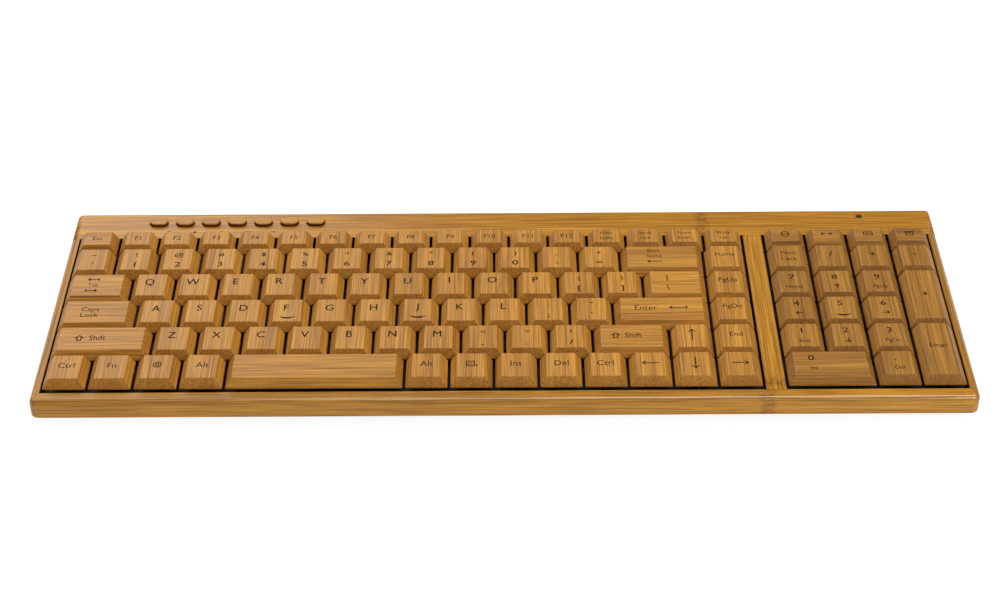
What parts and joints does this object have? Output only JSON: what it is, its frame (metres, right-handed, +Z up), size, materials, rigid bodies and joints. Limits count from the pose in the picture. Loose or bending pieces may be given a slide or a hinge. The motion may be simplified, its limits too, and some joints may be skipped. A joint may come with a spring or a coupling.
{
  "type": "bamboo computer keyboard",
  "caption": "Full-size bamboo keyboard: flat sloping key tops in two wells of a rounded timber frame, number pad, hot buttons, status light, tilt feet and battery bay.",
  "frame": {"origin": "on the table under the middle of the footprint", "axes": "+X to the number pad, +Y to the rear edge, +Z up; the key deck rises 3 degrees towards +Y"},
  "size_m": [0.4004, 0.1374, 0.025],
  "materials": {
    "bamboo": "oiled laminated bamboo, satin",
    "bamboo_key": "oiled laminated bamboo, satin, with burnt lettering",
    "tray_plastic": "fine moulded texture",
    "rubber": "matt",
    "dome_rubber": "matt silicone",
    "contact_film": "printed polyester film",
    "steel": "zinc plated",
    "circuit_board": "solder mask",
    "smoked_lens": "clear dark moulding",
    "battery_wrap": "plain shrink sleeve"
  },
  "bodies": {
    "housing": {"front_rail": "bamboo", "rear_rail": "bamboo", "left_rail": "bamboo", "right_rail": "bamboo", "centre_rail": "bamboo", "bottom_tray": "tray_plastic", "key_plate": "tray_plastic", "dome_sheet": "dome_rubber", "contact_membrane": "contact_film", "backing_plate": "steel", "controller_board": "circuit_board", "button_board": "circuit_board", "status_lens": "smoked_lens", "left_battery": "battery_wrap", "right_battery": "battery_wrap", "front_grip_strip": "rubber", "rear_grip_strip": "rubber", "left_case_screw": "steel", "right_case_screw": "steel"},
    "left_modifier_keys": {"left_modifier_keys": "bamboo_key"},
    "space_bar": {"space_bar": "bamboo_key"},
    "right_modifier_keys": {"right_modifier_keys": "bamboo_key"},
    "lower_arrow_keys": {"lower_arrow_keys": "bamboo_key"},
    "left_shift_key": {"left_shift_key": "bamboo_key"},
    "zxcvb_keys": {"zxcvb_keys": "bamboo_key"},
    "nm_keys": {"nm_keys": "bamboo_key"},
    "right_shift_key": {"right_shift_key": "bamboo_key"},
    "up_arrow_key": {"up_arrow_key": "bamboo_key"},
    "caps_lock_key": {"caps_lock_key": "bamboo_key"},
    "asdfg_keys": {"asdfg_keys": "bamboo_key"},
    "hjkl_keys": {"hjkl_keys": "bamboo_key"},
    "enter_key": {"enter_key": "bamboo_key"},
    "tab_key": {"tab_key": "bamboo_key"},
    "qwert_keys": {"qwert_keys": "bamboo_key"},
    "yuiop_keys": {"yuiop_keys": "bamboo_key"},
    "backslash_key": {"backslash_key": "bamboo_key"},
    "left_number_keys": {"left_number_keys": "bamboo_key"},
    "right_number_keys": {"right_number_keys": "bamboo_key"},
    "backspace_key": {"backspace_key": "bamboo_key"},
    "escape_key": {"escape_key": "bamboo_key"},
    "f1_to_f4_keys": {"f1_to_f4_keys": "bamboo_key"},
    "f5_to_f8_keys": {"f5_to_f8_keys": "bamboo_key"},
    "f9_to_f12_keys": {"f9_to_f12_keys": "bamboo_key"},
    "system_keys": {"system_keys": "bamboo_key"},
    "numpad_zero_key": {"numpad_zero_key": "bamboo_key"},
    "numpad_point_key": {"numpad_point_key": "bamboo_key"},
    "numpad_123_keys": {"numpad_123_keys": "bamboo_key"},
    "numpad_456_keys": {"numpad_456_keys": "bamboo_key"},
    "numpad_789_keys": {"numpad_789_keys": "bamboo_key"},
    "numpad_operator_keys": {"numpad_operator_keys": "bamboo_key"},
    "numpad_media_keys": {"numpad_media_keys": "bamboo_key"},
    "numpad_enter_key": {"numpad_enter_key": "bamboo_key"},
    "numpad_plus_key": {"numpad_plus_key": "bamboo_key"},
    "navigation_keys": {"navigation_keys": "bamboo_key"},
    "hot_buttons": {"hot_buttons": "bamboo_key"},
    "space_stabiliser": {"space_stabiliser": "steel"},
    "battery_door": {"battery_door": "tray_plastic"},
    "left_tilt_foot": {"left_tilt_foot": "tray_plastic"},
    "right_tilt_foot": {"right_tilt_foot": "tray_plastic"},
    "power_switch": {"power_switch": "tray_plastic"}
  },
  "joints": [
    {"name": "left_modifier_keys_press", "type": "slide", "parent": "housing", "child": "left_modifier_keys", "axis": [0, 0.0523, -0.9986], "range_m": [0, 0.0025], "stiffness_N_per_m": 600, "springref_m": -0.0015},
    {"name": "space_bar_press", "type": "slide", "parent": "housing", "child": "space_bar", "axis": [0, 0.0523, -0.9986], "range_m": [0, 0.0025], "stiffness_N_per_m": 260, "springref_m": -0.0015},
    {"name": "right_modifier_keys_press", "type": "slide", "parent": "housing", "child": "right_modifier_keys", "axis": [0, 0.0523, -0.9986], "range_m": [0, 0.0025], "stiffness_N_per_m": 750, "springref_m": -0.0015},
    {"name": "lower_arrow_keys_press", "type": "slide", "parent": "housing", "child": "lower_arrow_keys", "axis": [0, 0.0523, -0.9986], "range_m": [0, 0.0025], "stiffness_N_per_m": 450, "springref_m": -0.0015},
    {"name": "left_shift_key_press", "type": "slide", "parent": "housing", "child": "left_shift_key", "axis": [0, 0.0523, -0.9986], "range_m": [0, 0.0025], "stiffness_N_per_m": 150, "springref_m": -0.0015},
    {"name": "zxcvb_keys_press", "type": "slide", "parent": "housing", "child": "zxcvb_keys", "axis": [0, 0.0523, -0.9986], "range_m": [0, 0.0025], "stiffness_N_per_m": 750, "springref_m": -0.0015},
    {"name": "nm_keys_press", "type": "slide", "parent": "housing", "child": "nm_keys", "axis": [0, 0.0523, -0.9986], "range_m": [0, 0.0025], "stiffness_N_per_m": 750, "springref_m": -0.0015},
    {"name": "right_shift_key_press", "type": "slide", "parent": "housing", "child": "right_shift_key", "axis": [0, 0.0523, -0.9986], "range_m": [0, 0.0025], "stiffness_N_per_m": 150, "springref_m": -0.0015},
    {"name": "up_arrow_key_press", "type": "slide", "parent": "housing", "child": "up_arrow_key", "axis": [0, 0.0523, -0.9986], "range_m": [0, 0.0025], "stiffness_N_per_m": 150, "springref_m": -0.0015},
    {"name": "caps_lock_key_press", "type": "slide", "parent": "housing", "child": "caps_lock_key", "axis": [0, 0.0523, -0.9986], "range_m": [0, 0.0025], "stiffness_N_per_m": 150, "springref_m": -0.0015},
    {"name": "asdfg_keys_press", "type": "slide", "parent": "housing", "child": "asdfg_keys", "axis": [0, 0.0523, -0.9986], "range_m": [0, 0.0025], "stiffness_N_per_m": 750, "springref_m": -0.0015},
    {"name": "hjkl_keys_press", "type": "slide", "parent": "housing", "child": "hjkl_keys", "axis": [0, 0.0523, -0.9986], "range_m": [0, 0.0025], "stiffness_N_per_m": 900, "springref_m": -0.0015},
    {"name": "enter_key_press", "type": "slide", "parent": "housing", "child": "enter_key", "axis": [0, 0.0523, -0.9986], "range_m": [0, 0.0025], "stiffness_N_per_m": 150, "springref_m": -0.0015},
    {"name": "tab_key_press", "type": "slide", "parent": "housing", "child": "tab_key", "axis": [0, 0.0523, -0.9986], "range_m": [0, 0.0025], "stiffness_N_per_m": 150, "springref_m": -0.0015},
    {"name": "qwert_keys_press", "type": "slide", "parent": "housing", "child": "qwert_keys", "axis": [0, 0.0523, -0.9986], "range_m": [0, 0.0025], "stiffness_N_per_m": 750, "springref_m": -0.0015},
    {"name": "yuiop_keys_press", "type": "slide", "parent": "housing", "child": "yuiop_keys", "axis": [0, 0.0523, -0.9986], "range_m": [0, 0.0025], "stiffness_N_per_m": 1050, "springref_m": -0.0015},
    {"name": "backslash_key_press", "type": "slide", "parent": "housing", "child": "backslash_key", "axis": [0, 0.0523, -0.9986], "range_m": [0, 0.0025], "stiffness_N_per_m": 150, "springref_m": -0.0015},
    {"name": "left_number_keys_press", "type": "slide", "parent": "housing", "child": "left_number_keys", "axis": [0, 0.0523, -0.9986], "range_m": [0, 0.0025], "stiffness_N_per_m": 900, "springref_m": -0.0015},
    {"name": "right_number_keys_press", "type": "slide", "parent": "housing", "child": "right_number_keys", "axis": [0, 0.0523, -0.9986], "range_m": [0, 0.0025], "stiffness_N_per_m": 1050, "springref_m": -0.0015},
    {"name": "backspace_key_press", "type": "slide", "parent": "housing", "child": "backspace_key", "axis": [0, 0.0523, -0.9986], "range_m": [0, 0.0025], "stiffness_N_per_m": 150, "springref_m": -0.0015},
    {"name": "escape_key_press", "type": "slide", "parent": "housing", "child": "escape_key", "axis": [0, 0.0523, -0.9986], "range_m": [0, 0.0025], "stiffness_N_per_m": 150, "springref_m": -0.0015},
    {"name": "f1_to_f4_keys_press", "type": "slide", "parent": "housing", "child": "f1_to_f4_keys", "axis": [0, 0.0523, -0.9986], "range_m": [0, 0.0025], "stiffness_N_per_m": 600, "springref_m": -0.0015},
    {"name": "f5_to_f8_keys_press", "type": "slide", "parent": "housing", "child": "f5_to_f8_keys", "axis": [0, 0.0523, -0.9986], "range_m": [0, 0.0025], "stiffness_N_per_m": 600, "springref_m": -0.0015},
    {"name": "f9_to_f12_keys_press", "type": "slide", "parent": "housing", "child": "f9_to_f12_keys", "axis": [0, 0.0523, -0.9986], "range_m": [0, 0.0025], "stiffness_N_per_m": 600, "springref_m": -0.0015},
    {"name": "system_keys_press", "type": "slide", "parent": "housing", "child": "system_keys", "axis": [0, 0.0523, -0.9986], "range_m": [0, 0.0025], "stiffness_N_per_m": 600, "springref_m": -0.0015},
    {"name": "numpad_zero_key_press", "type": "slide", "parent": "housing", "child": "numpad_zero_key", "axis": [0, 0.0523, -0.9986], "range_m": [0, 0.0025], "stiffness_N_per_m": 150, "springref_m": -0.0015},
    {"name": "numpad_point_key_press", "type": "slide", "parent": "housing", "child": "numpad_point_key", "axis": [0, 0.0523, -0.9986], "range_m": [0, 0.0025], "stiffness_N_per_m": 150, "springref_m": -0.0015},
    {"name": "numpad_123_keys_press", "type": "slide", "parent": "housing", "child": "numpad_123_keys", "axis": [0, 0.0523, -0.9986], "range_m": [0, 0.0025], "stiffness_N_per_m": 450, "springref_m": -0.0015},
    {"name": "numpad_456_keys_press", "type": "slide", "parent": "housing", "child": "numpad_456_keys", "axis": [0, 0.0523, -0.9986], "range_m": [0, 0.0025], "stiffness_N_per_m": 450, "springref_m": -0.0015},
    {"name": "numpad_789_keys_press", "type": "slide", "parent": "housing", "child": "numpad_789_keys", "axis": [0, 0.0523, -0.9986], "range_m": [0, 0.0025], "stiffness_N_per_m": 450, "springref_m": -0.0015},
    {"name": "numpad_operator_keys_press", "type": "slide", "parent": "housing", "child": "numpad_operator_keys", "axis": [0, 0.0523, -0.9986], "range_m": [0, 0.0025], "stiffness_N_per_m": 600, "springref_m": -0.0015},
    {"name": "numpad_media_keys_press", "type": "slide", "parent": "housing", "child": "numpad_media_keys", "axis": [0, 0.0523, -0.9986], "range_m": [0, 0.0025], "stiffness_N_per_m": 600, "springref_m": -0.0015},
    {"name": "numpad_enter_key_press", "type": "slide", "parent": "housing", "child": "numpad_enter_key", "axis": [0, 0.0523, -0.9986], "range_m": [0, 0.0025], "stiffness_N_per_m": 150, "springref_m": -0.0015},
    {"name": "numpad_plus_key_press", "type": "slide", "parent": "housing", "child": "numpad_plus_key", "axis": [0, 0.0523, -0.9986], "range_m": [0, 0.0025], "stiffness_N_per_m": 150, "springref_m": -0.0015},
    {"name": "navigation_keys_press", "type": "slide", "parent": "housing", "child": "navigation_keys", "axis": [0, 0.0523, -0.9986], "range_m": [0, 0.0025], "stiffness_N_per_m": 600, "springref_m": -0.0015},
    {"name": "hot_buttons_press", "type": "slide", "parent": "housing", "child": "hot_buttons", "axis": [0, 0.0523, -0.9986], "range_m": [0, 0.001], "stiffness_N_per_m": 900, "springref_m": -0.001},
    {"name": "space_stabiliser_turn", "type": "hinge", "parent": "housing", "child": "space_stabiliser", "pos_m": [-0.0806, -0.0466, 0.01279], "axis": [1, 0, 0], "range_deg": [0, 21]},
    {"name": "battery_door_open", "type": "hinge", "parent": "housing", "child": "battery_door", "pos_m": [0.036, 0.0493, 0.0014], "axis": [-1, 0, 0], "range_deg": [0, 90]},
    {"name": "left_tilt_foot_swing", "type": "hinge", "parent": "housing", "child": "left_tilt_foot", "pos_m": [-0.172, 0.058, 0.0032], "axis": [1, 0, 0], "range_deg": [0, 90]},
    {"name": "right_tilt_foot_swing", "type": "hinge", "parent": "housing", "child": "right_tilt_foot", "pos_m": [0.172, 0.058, 0.0032], "axis": [1, 0, 0], "range_deg": [0, 90]},
    {"name": "power_switch_slide", "type": "slide", "parent": "housing", "child": "power_switch", "axis": [1, 0, 0], "range_m": [0, 0.0024]}
  ],
  "couplings": [
    {"joint": "space_stabiliser_turn", "follows": "space_bar_press", "rad_per_m": 143.63}
  ]
}
